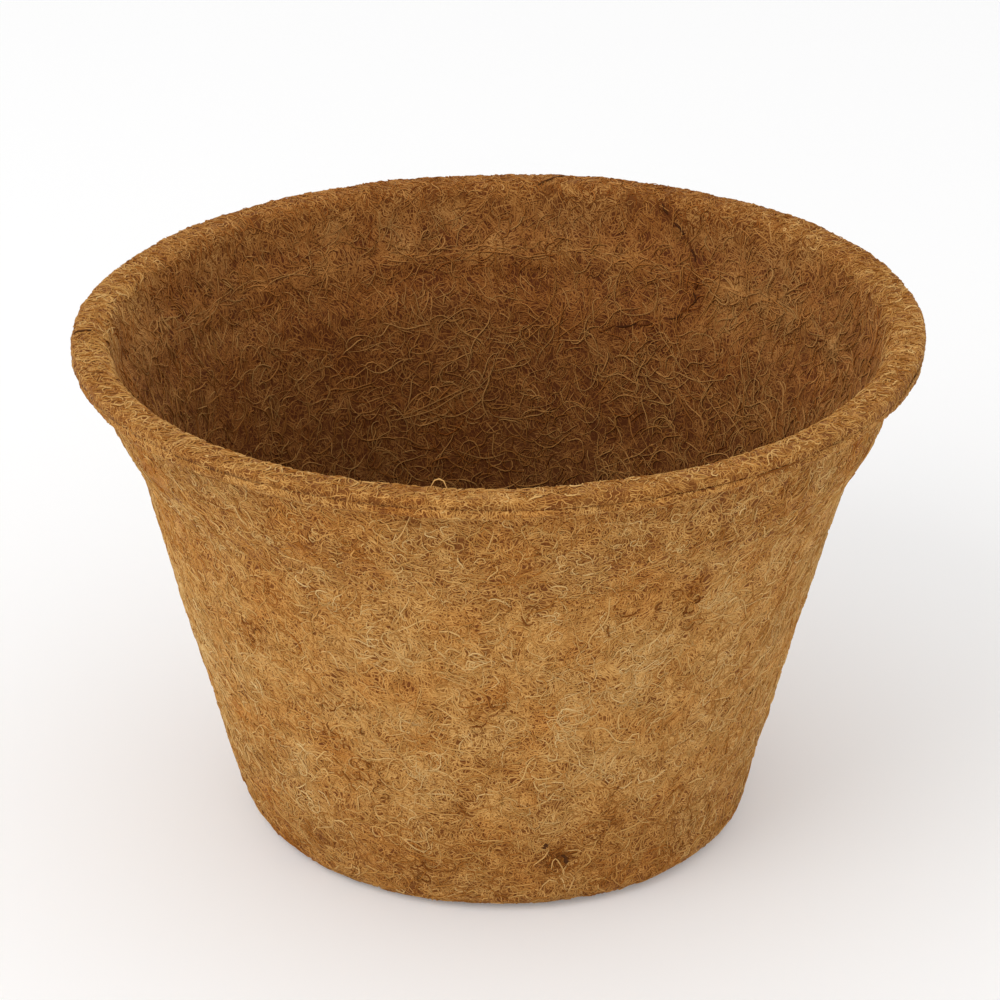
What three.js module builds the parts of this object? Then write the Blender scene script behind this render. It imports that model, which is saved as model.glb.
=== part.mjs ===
// Coir pot: two plies of coconut fibre felt, pressed together over a film of natural latex.
// Millimetres, +Z up, with the origin at the middle of the base's underside.

import * as THREE from 'three';

// Outside of the pot, from the ground up
const baseDiameter = 125.4; // where the straight line of the wall would meet the ground
const footRounding = 6.5;
const stepBottomDiameter = 172.8; // the wall steps out here to make room for the band
const stepBottomHeight = 95.8;
const stepRounding = 4;
const bandBottomDiameter = 185.8;
const bandBottomHeight = 108.6;
const bandRounding = 6.5;
const bandTopDiameter = 194;
const neckRounding = 1.5; // between the band and the underside of the flange
const mouthRounding = 4.5; // on the flange's inner edge
const rimDiameter = 203;
const rimHeight = 128;
const edgeRounding = 1.4; // on the flange's outer edge, above and below

// Layers, from the outside in
const outerFeltThickness = 2.1;
const latexThickness = 0.5;
const innerFeltThickness = 2;
const layerClearance = 0.3;
const latexSetback = 0.8; // the latex stops this far short of the felts' trimmed edge

// Facets
const turnSteps = 64;
const arcStep = THREE.MathUtils.degToRad(30);

// How deep each layer starts, measured square to the outside
const latexDepth = outerFeltThickness + layerClearance;
const innerFeltDepth = latexDepth + latexThickness + layerClearance;
const wallThickness = innerFeltDepth + innerFeltThickness;

const rimRadius = rimDiameter / 2;
const flangeUnderside = rimHeight - wallThickness;

// Directions in a profile, where x is the radius and y the height
const outwards = new THREE.Vector2(1, 0);
const upwards = new THREE.Vector2(0, 1);
const inwards = new THREE.Vector2(-1, 0);

// The outside of the pot as straight runs between corners, out along the base and up to the flange
const outsideCorners = [
  { at: new THREE.Vector2(baseDiameter / 2, 0), rounding: footRounding },
  { at: new THREE.Vector2(stepBottomDiameter / 2, stepBottomHeight), rounding: stepRounding },
  { at: new THREE.Vector2(bandBottomDiameter / 2, bandBottomHeight), rounding: bandRounding },
  { at: new THREE.Vector2(bandTopDiameter / 2, flangeUnderside), rounding: neckRounding },
];

// The direction of each run: the base, the wall, the step, the band and the flange
const runDirections = [
  outwards,
  ...outsideCorners.slice(1).map(({ at }, i) => at.clone().sub(outsideCorners[i].at).normalize()),
  outwards,
];

function leftOf(direction) {
  return new THREE.Vector2(-direction.y, direction.x);
}

// A corner as an arc that is tangent to the runs before and after it
function roundedCorner(corner, incoming, outgoing, radius) {
  if (radius <= 0) return [corner];
  const turn = Math.atan2(incoming.cross(outgoing), incoming.dot(outgoing));
  const reach = radius * Math.tan(Math.abs(turn) / 2);
  const start = corner.clone().addScaledVector(incoming, -reach);
  const centre = start.clone().addScaledVector(leftOf(incoming), Math.sign(turn) * radius);
  const steps = Math.max(1, Math.ceil(Math.abs(turn) / arcStep));
  const points = [];
  for (let i = 0; i <= steps; i += 1) {
    points.push(start.clone().rotateAround(centre, (turn * i) / steps));
  }
  return points;
}

// The line that lies a given depth inside the pot's outside, from the axis to the end of the flange.
// Its corner at the flange runs along with the neck's rounding, or has one of its own.
function lineAtDepth(depth, endRadius, flangeRounding) {
  const points = [new THREE.Vector2(0, depth)];
  const lastCorner = outsideCorners.length - 1;
  outsideCorners.forEach(({ at, rounding }, i) => {
    const incoming = runDirections[i];
    const outgoing = runDirections[i + 1];
    const mitre = leftOf(incoming).add(leftOf(outgoing)).normalize();
    const corner = at.clone().addScaledVector(mitre, depth / mitre.dot(leftOf(incoming)));
    const side = Math.sign(incoming.cross(outgoing));
    const ownRounding = i === lastCorner ? flangeRounding : undefined;
    points.push(...roundedCorner(corner, incoming, outgoing, ownRounding ?? rounding - side * depth));
  });
  points.push(new THREE.Vector2(endRadius, flangeUnderside + depth));
  return points;
}

// A layer's solid: up its outside, round its edge at the rim and back down its inside
function layerGeometry({
  depth,
  thickness,
  endRadius,
  lowerRounding = 0,
  upperRounding = 0,
  insideFlangeRounding,
}) {
  const outside = lineAtDepth(depth, endRadius);
  const inside = lineAtDepth(depth + thickness, endRadius, insideFlangeRounding);
  const lowerCorner = outside.pop();
  const upperCorner = inside.pop();
  const profile = [
    ...outside,
    ...roundedCorner(lowerCorner, outwards, upwards, Math.min(lowerRounding, thickness)),
    ...roundedCorner(upperCorner, upwards, inwards, Math.min(upperRounding, thickness)),
    ...inside.reverse(),
  ];
  return new THREE.LatheGeometry(profile, turnSteps).rotateX(Math.PI / 2);
}

function addLayer(group, name, layer, look) {
  const material = new THREE.MeshStandardMaterial({ metalness: 0, ...look });
  const mesh = new THREE.Mesh(layerGeometry(layer), material);
  mesh.name = name;
  group.add(mesh);
}

const pot = new THREE.Group();
pot.name = 'coir_pot';

// The outside ply: base, wall, step, band and the underside of the flange
addLayer(
  pot,
  'outer_felt',
  { depth: 0, thickness: outerFeltThickness, endRadius: rimRadius, lowerRounding: edgeRounding },
  { color: 0xa77842, roughness: 0.95 },
);

// The latex that glues the plies together
addLayer(
  pot,
  'latex_bond',
  { depth: latexDepth, thickness: latexThickness, endRadius: rimRadius - latexSetback },
  { color: 0xd8c59a, roughness: 0.6 },
);

// The inside ply: floor, wall, ledge, band and the top of the flange
addLayer(
  pot,
  'inner_felt',
  {
    depth: innerFeltDepth,
    thickness: innerFeltThickness,
    endRadius: rimRadius,
    upperRounding: edgeRounding,
    insideFlangeRounding: mouthRounding,
  },
  { color: 0x96653a, roughness: 0.95 },
);

export default pot;
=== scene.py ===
"""Coir pot: two plies of coconut fibre felt on a film of latex, and the fibres that lie on both faces."""
import math
from typing import NamedTuple

import bpy
from bpy.props import FloatProperty, FloatVectorProperty, IntProperty, PointerProperty
import numpy
from mathutils import Matrix, Vector


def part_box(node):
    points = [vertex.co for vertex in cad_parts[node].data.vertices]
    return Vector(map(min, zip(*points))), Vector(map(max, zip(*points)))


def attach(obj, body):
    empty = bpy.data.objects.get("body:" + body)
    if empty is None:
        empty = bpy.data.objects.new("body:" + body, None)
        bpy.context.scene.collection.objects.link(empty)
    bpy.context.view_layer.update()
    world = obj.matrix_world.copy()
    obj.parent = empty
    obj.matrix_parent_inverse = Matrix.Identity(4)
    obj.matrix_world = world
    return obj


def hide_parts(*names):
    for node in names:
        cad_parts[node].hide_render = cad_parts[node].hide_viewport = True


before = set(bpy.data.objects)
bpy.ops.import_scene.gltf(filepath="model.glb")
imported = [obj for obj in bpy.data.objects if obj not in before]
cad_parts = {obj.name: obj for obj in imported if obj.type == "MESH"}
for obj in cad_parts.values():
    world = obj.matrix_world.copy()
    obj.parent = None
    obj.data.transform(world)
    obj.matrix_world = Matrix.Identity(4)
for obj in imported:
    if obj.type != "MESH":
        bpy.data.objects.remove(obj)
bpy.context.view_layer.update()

bl_info = {
    "name": "Coir pot",
    "version": (1, 0, 0),
    "blender": (4, 5, 0),
    "location": "View3D > Sidebar > Coir pot",
    "description": "Dresses the coir pot's solids in felt, fibres and latex",
    "category": "Object",
}

FELT_LOW, FELT_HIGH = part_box("outer_felt")
RIM_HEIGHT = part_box("inner_felt")[1].z
BODY = "root"
MM = 0.001
UV_NAME = "OFBake"

# Zones of a felt's shown face
HIDDEN, FLOOR, WALL, BAND, FLANGE, EDGE, LEDGE, RIDGE = range(8)
RUN_ZONES = (FLOOR, WALL, BAND, BAND, FLANGE)

# The ledge's middle over the foot of the band, and how far from it the ledge and its ridge reach
LEDGE_RISE = 1.6 * MM
LEDGE_REACH = 4 * MM
RIDGE_REACH = 0.9 * MM

# How finely the profiles are drawn. The hidden face gets a share of its true length on the map
ARC_STEP = math.radians(12)
SHOWN_SPACING = 1.3 * MM
HIDDEN_SPACING = 9 * MM
HIDDEN_SHARE = 0.1
WELD_DISTANCE = 1e-6

# Heights over which the parts of a felt's unevenness come in, and how far forwards the foot's does
FOOT_REACH = 57 * MM
LEAN_HEIGHTS = (70 * MM, 110 * MM)
FOOT_HEIGHTS = (3 * MM, 22 * MM)
RIM_HEIGHTS = (108 * MM, 122 * MM)
BASE_HEIGHTS = (0.0, 1 * MM)
RIDGE_FOOT_HEIGHTS = (104 * MM, 110 * MM)
RIDGE_TOP_HEIGHTS = (111 * MM, 118 * MM)
BASE_LIFT = 0.4 * MM
PIT_SEED = 7

# The husk's tone at the ground, and its changes from one height in millimetres to another. Darker towards the
# foot outside and deeper inside is painted shade
OUTER_TONE = -0.07
OUTER_TONES_AND_SHADE = ((6, 46, 0.16), (82, 114, -0.15))
INNER_TONE = -0.215
INNER_TONES_AND_SHADE = (
    (30, 122, 0.34), (118, 127, -0.18),
    # Painted highlight on the ledge, and painted shade under it
    (108, 109.5, 0.08), (110, 112, -0.08),  # paler on the ledge
    (98, 104, -0.05), (105, 108, 0.05),  # darker under it
)

# Patches of redder and paler husk, which the felts and their fibres share
HUSK_SIZE = 13 * MM
HUSK_SEED = 9.0
RUST_TINT = (0.95, 0.8, 0.6, 1)
STRAW_TINT = (1.08, 1.2, 1.45, 1)
FIBRE_TINTING = 3.0  # how fast a fibre's hue brings the tints in

# Where the golden rim turns into the browner inside, by height and by turns from the front. Browner towards
# the back is partly painted shade
MOUTH_HEIGHTS = (117 * MM, 127 * MM)
MOUTH_TURNS = (105, 150)
BACK_GOLD_PARTLY_SHADED = 0.65

# How much a spot of full strength changes the tone and hue of the husk
BLOOM_TONE = 0.35
BLOOM_HUE = 0.4

# Clumps of fibres that lie together are alike in tone
CLUMP_SIZE = 1.9 * MM
CLUMP_SEED = 8.0
CLUMP_TONE = 0.35

# Larger patches of fibres that are alike, and of fibres that turn the same way
PATCH_SIZE = 14 * MM
PATCH_SEED = 3.0
SWIRL_SIZE = 17 * MM
SWIRL_SEED = 5

# How far patches and single fibres differ in tone, hue and size
PATCH_TONE = 1.5
HUSK_HUE = 1.6
HUE_SPREAD = 0.2
LENGTH_SPREAD = 0.45
THICKNESS_SPREAD = 0.35
LEAST_BROWN = 0.3  # of the way from dull to rust, deep in the pot
LOWEST_TONE = 0.08  # lower ones are for single strands

# A fibre's waves: how many radians, where they may start and their share of its curl
WAVE_TURNS = 7
WAVE_STARTS = 4
WAVE_SHARE = 0.1

# A fibre's form: its radius and its least height as shares of its thickness, its tip and its sides
FIBRE_RADIUS = 0.58
FIBRE_GROUND = 0.7
FIBRE_TIP = 0.25
FIBRE_SIDES = 3
FIBRE_SHARE = 0.5

# Which random draw of a fibre decides what
DRAWS = {
    "tone": 1, "hue": 2, "heading": 3, "bend": 4, "length": 5, "wave": 6, "lift": 8, "thickness": 10,
}

# A fibre's place on the map: a small area at its tone and hue
MAP_ROOM = 0.97
MAP_AREA = 0.02
MAP_EDGE = 0.005

# Single strands
STRAND_SPACING = 0.9 * MM
STRAND_SINK = 0.2 * MM
STRAND_TIP = 0.3
STRAND_SIDES = 5
STRAND_SHARE = 0.2
OUTER_STRAND_HUE, INNER_STRAND_HUE, RIM_STRAND_HUE = 0.5, 0.1, 1.0

OUTWARDS = Vector((1, 0))
UPWARDS = Vector((0, 1))
INWARDS = Vector((-1, 0))


def paint(red, green, blue):
    """A colour of 0 to 255 a channel as the linear one that Blender's sockets take."""
    return tuple(
        c / 12.92 if c <= 0.04045 else ((c + 0.055) / 1.055) ** 2.4
        for c in (red / 255, green / 255, blue / 255)
    )


# Browns at both ends of the inside's husk, and the share of the hues that holds them: the rest turn golden
INNER_RUST = paint(216, 182, 152)
INNER_DULL = paint(198, 184, 170)
WHITE = (1, 1, 1)
BROWN_HUES = 0.6

# Deep in the pot the husk is duller, the felt's by a tint and the fibres' by their hue
DEEP_TINT = (0.92, 1.05, 1.32, 1)
DEEP_FELT_HEIGHTS = (25 * MM, 112 * MM)
DEEP_FIBRE_HEIGHTS = (25 * MM, 95 * MM)

# Latex
CLOUDY_LATEX = paint(186, 156, 104)
CLOUD_SIZE = 9 * MM
CLOUD_SEED = 2.0
WRINKLE_SIZE = 2 * MM
WRINKLE_SEED = 5.0

# The stage, in metres, and the camera's sensor, in millimetres
FLOOR_HALF = 4.0
LAMP_SIZE = 0.9
LAMP_PLACE = (-0.8, -0.75, 1.1)
LAMP_AIM = (0, 0, 0.06)
SENSOR_WIDTH = 36


def length(name, description, millimetres):
    """A setting that is a length."""
    return FloatProperty(
        name=name, description=description, default=millimetres * MM, unit="LENGTH", precision=5
    )


def colour(name, description, *levels):
    """A setting that is a colour, from levels of 0 to 255."""
    return FloatVectorProperty(
        name=name, description=description, subtype="COLOR", default=paint(*levels), min=0, max=1
    )


class PotSizes(bpy.types.PropertyGroup):
    """Sizes of the pressed pot"""

    rim_diameter: FloatProperty(
        name="Rim", description="Across the flange", default=FELT_HIGH.x - FELT_LOW.x, unit="LENGTH"
    )
    rim_height: FloatProperty(
        name="Height", description="From the ground to the rim", default=RIM_HEIGHT, unit="LENGTH"
    )
    base_diameter: length("Base", "Where the wall's line meets the ground", 125.4)
    foot_rounding: length("Foot rounding", "Radius between base and wall", 6.5)
    step_diameter: length("Step", "Across the wall where it steps out", 172.8)
    step_height: length("Step height", "Where the wall steps out", 95.8)
    step_rounding: length("Step rounding", "Radius at the foot of the step", 4)
    band_diameter: length("Band", "Across the foot of the band", 185.8)
    band_height: length("Band height", "Where the band starts", 108.6)
    band_rounding: length("Band rounding", "Radius at the foot of the band", 6.5)
    neck_diameter: length("Neck", "Across the top of the band", 194)
    neck_rounding: length("Neck rounding", "Radius under the flange", 1.5)
    mouth_rounding: length("Mouth rounding", "Radius of the flange's inner edge", 4.5)
    edge_rounding: length("Edge rounding", "Radius of the flange's edge", 1.4)
    outer_ply: length("Outer ply", "Thickness of the outside felt", 2.1)
    inner_ply: length("Inner ply", "Thickness of the inside felt", 2)
    bond_gap: length("Bond gap", "Room for the latex between the plies", 1.1)
    lip_reach: length("Lip reach", "How far in the plies' edges close up", 0.65)
    lip_rise: length("Lip rise", "How far the edges rise to each other", 0.6)


class FeltLook(bpy.types.PropertyGroup):
    """Unevenness and colours of the pressed felt"""

    turn_steps: IntProperty(name="Turn steps", description="Facets round the pot", default=288, min=24)
    lump_height: length("Lump height", "Swell of the felt", 0.45)
    lump_size: length("Lump size", "Across one swell", 24)
    dimple_height: length("Dimple height", "Depth of the felt's pits", 0.3)
    dimple_size: length("Dimple size", "Across one pit", 6)
    inset: length("Inset", "Room for the fibres on the felt", 0.2)
    ridge: length("Ridge", "How far the ledge stands out inside", 1.2)
    rim_rise: length("Rim rise", "How much higher the rim is at the right", 1)
    rim_dip: length("Rim dip", "How much lower the rim is at the back", 1)
    wall_shift: length("Wall shift", "How far the wall leans out to the left", 1)
    foot_shift: length("Foot shift", "How far the front of the foot stands to the right", 1.8)
    pit: colour("Pit", "Shade between the fibres", 114, 63, 17)
    strand: colour("Strand", "Matted fibres", 182, 126, 59)
    pale_strand: colour("Pale strand", "Matted fibres on top", 217, 166, 96)
    inner_tint: colour("Inner tint", "What the inside's husk makes of the other colours", 205, 184, 166)
    latex: colour("Latex", "Dried latex", 216, 197, 154)


class FibreLook(bpy.types.PropertyGroup):
    """Colours of the fibres"""

    black: colour("Black strand", "Single strands that have gone dark", 66, 38, 16)
    dark: colour("Dark fibre", "The darkest of the other fibres", 126, 72, 20)
    brown: colour("Brown fibre", "Fibres in the shade of the others", 166, 107, 43)
    gold: colour("Gold fibre", "Most of the fibres", 199, 147, 78)
    straw: colour("Straw fibre", "The palest fibres", 225, 181, 114)


class StageLook(bpy.types.PropertyGroup):
    """Floor, light and camera"""

    floor: colour("Floor", "The floor's own colour", 235, 235, 235)
    floor_glow: FloatProperty(name="Floor glow", description="What the camera sees added", default=0.15)
    sky: FloatProperty(name="Sky", description="Even light from all sides", default=0.9)
    key: FloatProperty(name="Key light", description="Power of the soft lamp", default=6, unit="POWER")
    distance: length("Distance", "From the camera to the pot", 812)
    elevation: FloatProperty(
        name="Elevation", description="Above the horizon", default=math.radians(26.77), subtype="ANGLE"
    )
    focal_length: FloatProperty(name="Focal length", description="In millimetres", default=118.1)
    shift_across: FloatProperty(name="Shift across", description="Share of the frame", default=0.002)
    shift_up: FloatProperty(name="Shift up", description="Share of the frame", default=0.055)


class Wire:
    """An output in a node tree. Operators on values add Math nodes, and add() adds any other node."""

    def __init__(self, tree, socket=None):
        self.tree, self.socket = tree, socket

    def add(self, kind, settings=None, values=None):
        """Adds a node: its settings first, then the values or links of its sockets by name or place."""
        node = self.tree.nodes.new(kind)
        for name, value in (settings or {}).items():
            if name == "stops":
                self._set_stops(node.color_ramp, value)
            else:
                setattr(node, name, value)
        inputs = [s for s in node.inputs if s.enabled]
        for key, value in (values or {}).items():
            socket = inputs[key] if isinstance(key, int) else next(s for s in inputs if s.name == key)
            if isinstance(value, Wire):
                self.tree.links.new(value.socket, socket)
            else:
                socket.default_value = value
        return Wire(self.tree, next((s for s in node.outputs if s.enabled), None))

    @staticmethod
    def _set_stops(ramp, stops):
        while len(ramp.elements) < len(stops):
            ramp.elements.new(0.5)
        for element, (place, shade) in zip(ramp.elements, stops):
            element.position = place
            element.color = (*shade, 1)

    def __getitem__(self, name):
        """Another output of the same node."""
        outputs = self.socket.node.outputs
        return Wire(self.tree, next(s for s in outputs if s.enabled and s.name == name))

    def math(self, operation, first, second):
        return self.add("ShaderNodeMath", {"operation": operation}, {0: first, 1: second})

    def function(self, operation):
        return self.add("ShaderNodeMath", {"operation": operation}, {0: self})

    def vector(self, operation, other=None):
        values = {0: self} if other is None else {0: self, 1: other}
        return self.add("ShaderNodeVectorMath", {"operation": operation}, values)

    def scaled(self, factor):
        return self.add("ShaderNodeVectorMath", {"operation": "SCALE"}, {"Vector": self, "Scale": factor})

    def parts(self):
        """A vector taken apart, with outputs X, Y and Z."""
        return self.add("ShaderNodeSeparateXYZ", None, {0: self})

    def __add__(self, other):
        return self.math("ADD", self, other)

    def __radd__(self, other):
        return self.math("ADD", other, self)

    def __sub__(self, other):
        return self.math("SUBTRACT", self, other)

    def __rsub__(self, other):
        return self.math("SUBTRACT", other, self)

    def __mul__(self, other):
        return self.math("MULTIPLY", self, other)

    def __rmul__(self, other):
        return self.math("MULTIPLY", other, self)

    def __truediv__(self, other):
        return self.math("DIVIDE", self, other)

    def __rtruediv__(self, other):
        return self.math("DIVIDE", other, self)

    def __pow__(self, other):
        return self.math("POWER", self, other)

    def at_least(self, other):
        return self.math("MAXIMUM", self, other)

    def clamped(self, low=0.0, high=1.0):
        return self.add("ShaderNodeClamp", None, {"Value": self, "Min": low, "Max": high})

    def ease(self, start, end):
        """0 before start and 1 after end, with a smooth rise between."""
        return self.add(
            "ShaderNodeMapRange",
            {"interpolation_type": "SMOOTHSTEP"},
            {"Value": self, "From Min": start, "From Max": end},
        )

    def noise(self, size, seed, detail=0.0):
        """Smooth noise from -0.5 to 0.5 over this position."""
        cloud = self.add(
            "ShaderNodeTexNoise",
            {"noise_dimensions": "4D"},
            {"Vector": self, "W": seed, "Scale": 1 / size, "Detail": detail},
        )
        return cloud - 0.5

    def tinted(self, tint, factor):
        """This colour, multiplied by a tint as far as the factor says."""
        settings = {"data_type": "RGBA", "blend_type": "MULTIPLY"}
        return self.add("ShaderNodeMix", settings, {"Factor": factor, "A": self, "B": tint})


def left_of(direction):
    return Vector((-direction.y, direction.x))


def rounded_corner(corner, incoming, outgoing, radius):
    """A corner of a profile as an arc that is tangent to the runs before and after it."""
    if radius <= 0:
        return [corner]
    turn = math.atan2(incoming.cross(outgoing), incoming.dot(outgoing))
    start = corner - incoming * radius * math.tan(abs(turn) / 2)
    centre = start + left_of(incoming) * math.copysign(radius, turn)
    steps = max(1, math.ceil(abs(turn) / ARC_STEP))
    return [
        centre + Matrix.Rotation(turn * i / steps, 2) @ (start - centre) for i in range(steps + 1)
    ]


def outside_corners(sizes):
    """The pot's outside as corners and their roundings, from the base to the underside of the flange."""
    wall = sizes.outer_ply + sizes.bond_gap + sizes.inner_ply
    return [
        (Vector((sizes.base_diameter / 2, 0)), sizes.foot_rounding),
        (Vector((sizes.step_diameter / 2, sizes.step_height)), sizes.step_rounding),
        (Vector((sizes.band_diameter / 2, sizes.band_height)), sizes.band_rounding),
        (Vector((sizes.neck_diameter / 2, sizes.rim_height - wall)), sizes.neck_rounding),
    ]


def line_at_depth(sizes, depth, flange_rounding=None):
    """The line at a depth inside the pot's outside, from the axis to the flange's edge, with zones."""
    corners = outside_corners(sizes)
    places = [at for at, _ in corners]
    directions = [OUTWARDS, *((b - a).normalized() for a, b in zip(places, places[1:])), OUTWARDS]
    line = [(Vector((0, depth)), FLOOR)]
    for i, (at, rounding) in enumerate(corners):
        incoming, outgoing = directions[i], directions[i + 1]
        mitre = (left_of(incoming) + left_of(outgoing)).normalized()
        corner = at + mitre * (depth / mitre.dot(left_of(incoming)))
        radius = rounding - math.copysign(depth, incoming.cross(outgoing))
        if flange_rounding and i == len(corners) - 1:
            radius = flange_rounding
        arc = rounded_corner(corner, incoming, outgoing, radius)
        line += [(point, RUN_ZONES[i + 1]) for point in arc]
    line.append((Vector((sizes.rim_diameter / 2, places[-1].y + depth)), EDGE))
    return line


def spaced(line, spacing):
    """The line with no two points further apart than the spacing."""
    points = [line[0]]
    for (a, zone), (b, next_zone) in zip(line, line[1:]):
        steps = max(1, math.ceil((b - a).length / spacing))
        points += [(a.lerp(b, i / steps), zone) for i in range(1, steps)]
        points.append((b, next_zone))
    return points


def shown_line(line):
    """A line of a felt's shown face, fine enough to be made uneven."""
    return [(point, zone, 1.0) for point, zone in spaced(line, SHOWN_SPACING)]


def hidden_line(line):
    """A line of the face that lies on the latex."""
    return [(point, HIDDEN, 0.0) for point, _ in spaced(line, HIDDEN_SPACING)]


def outer_profile(sizes):
    """The outside ply: out along the base, up to the flange, round its edge and back along the latex."""
    shown, hidden = line_at_depth(sizes, 0), line_at_depth(sizes, sizes.outer_ply)
    lower_corner, lip_corner = shown.pop()[0], hidden.pop()[0]
    rounding = rounded_corner(lower_corner, OUTWARDS, UPWARDS, sizes.edge_rounding)
    lip = lip_corner + UPWARDS * sizes.lip_rise
    shown += [(point, EDGE) for point in rounding] + [(lip, EDGE)]
    inside_lip = lip + INWARDS * sizes.lip_reach
    hidden += [(inside_lip - UPWARDS * sizes.lip_rise, HIDDEN), (inside_lip, HIDDEN)]
    return shown_line(shown) + hidden_line(hidden[::-1])


def inner_profile(sizes):
    """The inside ply: out along the latex, round the flange's edge, over its top and down to the floor."""
    hidden = line_at_depth(sizes, sizes.outer_ply + sizes.bond_gap)
    shown = inside_line(sizes)
    lip_corner, upper_corner = hidden.pop()[0], shown.pop()[0]
    rounding = rounded_corner(upper_corner, UPWARDS, INWARDS, sizes.edge_rounding)
    lip = lip_corner - UPWARDS * sizes.lip_rise
    inside_lip = lip + INWARDS * sizes.lip_reach
    hidden += [(inside_lip + UPWARDS * sizes.lip_rise, HIDDEN), (inside_lip, HIDDEN)]
    # A run's points take the zone of the run that they are on, so the zones are shifted as the line turns
    back = shown[::-1]
    back = [(point, zone) for (point, _), (_, zone) in zip(back, back[1:] + back[-1:])]
    edge = [(lip, EDGE)] + [(point, EDGE) for point in rounding[:-1]] + [(rounding[-1], FLANGE)]
    return hidden_line(hidden) + [
        (point, ledge_zone(sizes, point, zone), show) for point, zone, show in shown_line(edge + back)
    ]


def inside_line(sizes):
    """The inside of the pot, from the axis of its floor to the flange's edge."""
    depth = sizes.outer_ply + sizes.bond_gap + sizes.inner_ply
    return line_at_depth(sizes, depth, sizes.mouth_rounding)


def ledge_zone(sizes, point, zone):
    """The zone of a point on the inside, where part of the band is the ledge and the ridge along it."""
    away = abs(point.y - sizes.band_height - LEDGE_RISE)
    if zone != BAND or away > LEDGE_REACH:
        return zone
    return RIDGE if away < RIDGE_REACH else LEDGE


def profile_mesh(name, profile):
    """A profile as a row of points that hold their zone, whether they show and their place on the map."""
    mesh = bpy.data.meshes.new(name)
    points = [(p.x, 0, p.y) for p, _, _ in profile]
    mesh.from_pydata(points, [(i, i + 1) for i in range(len(points) - 1)], [])
    reach = [0.0]
    for (a, _, show_a), (b, _, show_b) in zip(profile, profile[1:]):
        reach.append(reach[-1] + (b - a).length * (1 if show_a and show_b else HIDDEN_SHARE))
    for label, values in (
        ("zone", [zone for _, zone, _ in profile]),
        ("show", [show for _, _, show in profile]),
        ("reach", [r / reach[-1] for r in reach]),
    ):
        mesh.attributes.new(label, "FLOAT", "POINT").data.foreach_set("value", values)
    return mesh


def new_tree(name, inputs):
    """A geometry tree with named inputs, and the wire of its inputs."""
    tree = bpy.data.node_groups.new(name, "GeometryNodeTree")
    for label, kind in inputs:
        tree.interface.new_socket(label, in_out="INPUT", socket_type="NodeSocket" + kind)
    tree.interface.new_socket("Geometry", in_out="OUTPUT", socket_type="NodeSocketGeometry")
    return Wire(tree).add("NodeGroupInput")


def end_tree(wire, geometry, material):
    """Ends a tree as plain, smooth faces with one material."""
    smooth = wire.add("GeometryNodeSetShadeSmooth", None, {0: geometry})
    plain = wire.add("GeometryNodeRealizeInstances", None, {0: smooth})
    painted = wire.add("GeometryNodeSetMaterial", None, {0: plain, "Material": material})
    wire.add("NodeGroupOutput", None, {0: painted})
    return wire.tree


def attribute(wire, name, kind="FLOAT"):
    return wire.add("GeometryNodeInputNamedAttribute", {"data_type": kind}, {"Name": name})


def stored(wire, geometry, name, value, kind="FLOAT", domain="POINT"):
    return wire.add(
        "GeometryNodeStoreNamedAttribute",
        {"data_type": kind, "domain": domain},
        {0: geometry, "Name": name, "Value": value},
    )


def joined(wire, x, y, z):
    return wire.add("ShaderNodeCombineXYZ", None, {0: x, 1: y, 2: z})


def height_tone_and_shade(place, inside):
    """How much paler the husk is by its height: darker on the band; darker at the foot and deep inside as
    painted shade; paler on the ledge as a painted highlight, with painted shade under it.
    """
    height = place.parts()["Z"]
    outer, inner = (
        sum((height.ease(low * MM, high * MM) * change for low, high, change in changes), tone)
        for tone, changes in ((OUTER_TONE, OUTER_TONES_AND_SHADE), (INNER_TONE, INNER_TONES_AND_SHADE))
    )
    return outer + (inner - outer) * inside


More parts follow.
